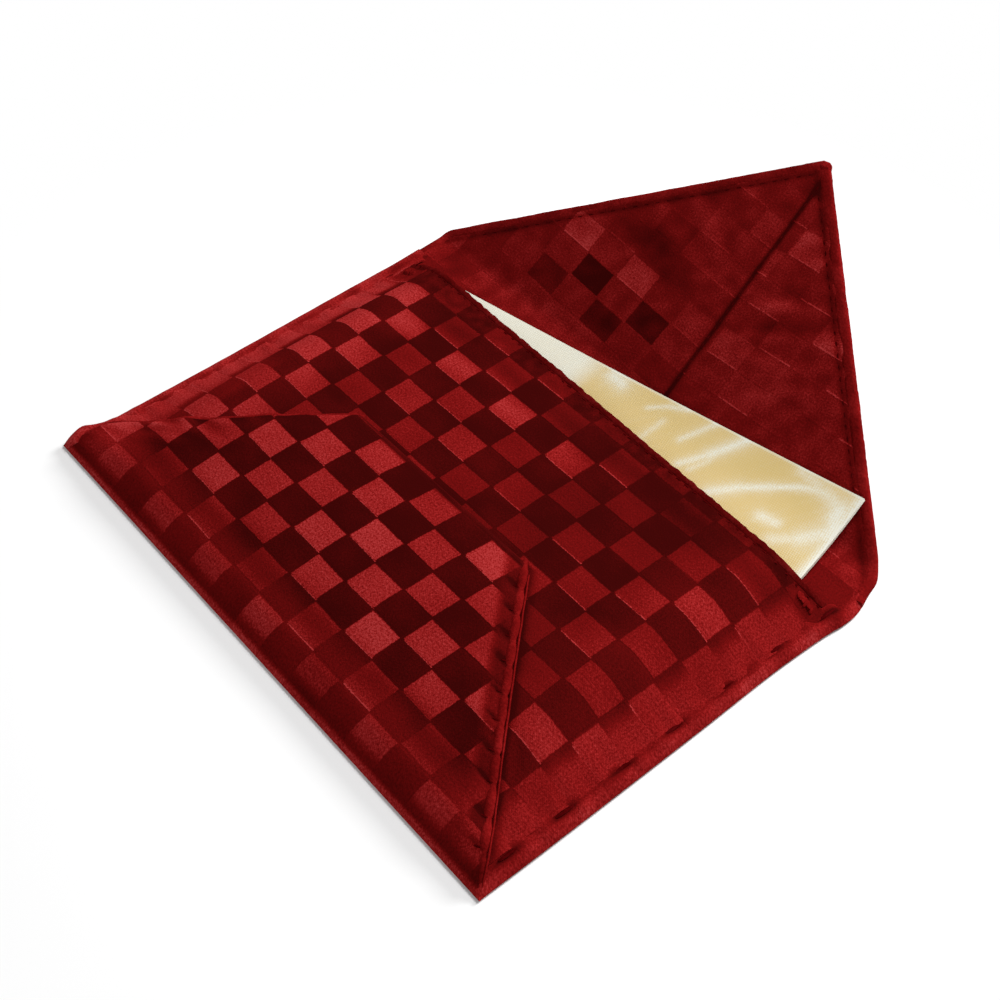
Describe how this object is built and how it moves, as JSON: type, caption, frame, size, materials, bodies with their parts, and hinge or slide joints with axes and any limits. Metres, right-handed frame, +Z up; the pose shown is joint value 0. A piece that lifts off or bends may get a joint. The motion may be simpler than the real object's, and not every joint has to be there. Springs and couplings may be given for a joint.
{
  "type": "card case",
  "caption": "Soft envelope-shaped cloth card case with a slanted bottom flap, an open pointed top flap that folds over the front, and a stiff satin-faced card in the pocket.",
  "frame": {"origin": "on the underside of the back, in the middle of the back between the bottom fold and the flap's fold", "axes": "+Z up through the case as it lies on its back, +Y from the bottom fold towards the pointed flap, +X along the folds, to the right as the front is read"},
  "size_m": [0.1097, 0.1209, 0.0258],
  "materials": {
    "brocade": "woven silk brocade in red and wine checks with a soft sheen",
    "flap_facing": "the same checked brocade, muted, as the inner side of the flap",
    "piping": "rolled brocade edge, wine red with a satin sheen",
    "lining": "plain dark red lining cloth",
    "thread": "dark red sewing thread",
    "stiffener": "uncoated grey-white paperboard, as wood pulp",
    "card": "pale cut edge of stiff card, as wood pulp",
    "gold_satin": "glossy ribbed satin, gold with silver-white highlights"
  },
  "bodies": {
    "pocket": {"back_cloth": "brocade", "back_board": "stiffener", "back_facing": "flap_facing", "front_cloth": "brocade", "front_lining": "lining", "mouth_hem": "brocade", "bottom_flap_cloth": "brocade", "bottom_flap_lining": "lining", "bottom_flap_roll_left": "piping", "bottom_flap_roll_right": "piping", "side_binding_left": "brocade", "side_binding_right": "brocade", "bar_tack_left": "thread", "bar_tack_right": "thread", "fold_cloth": "brocade", "fold_facing": "flap_facing"},
    "flap": {"flap_cloth": "brocade", "flap_board": "stiffener", "flap_facing_left": "flap_facing", "flap_facing_right": "flap_facing", "flap_edge_left": "piping", "flap_edge_right": "piping"},
    "insert": {"insert_board": "card", "insert_satin": "gold_satin"}
  },
  "joints": [
    {"name": "flap_fold", "type": "hinge", "parent": "pocket", "child": "flap", "pos_m": [0, 0.0392, 0.00505], "axis": [1, 0, 0], "range_deg": [-31, 149], "deforming": ["fold_cloth", "fold_facing"]},
    {"name": "insert_slide", "type": "slide", "parent": "pocket", "child": "insert", "axis": [0, -1, 0], "range_m": [-0.0025, 0.0115]}
  ],
  "couplings": [
    {"joint": "insert_slide", "follows": "flap_fold", "m_per_rad": 0.0043}
  ]
}
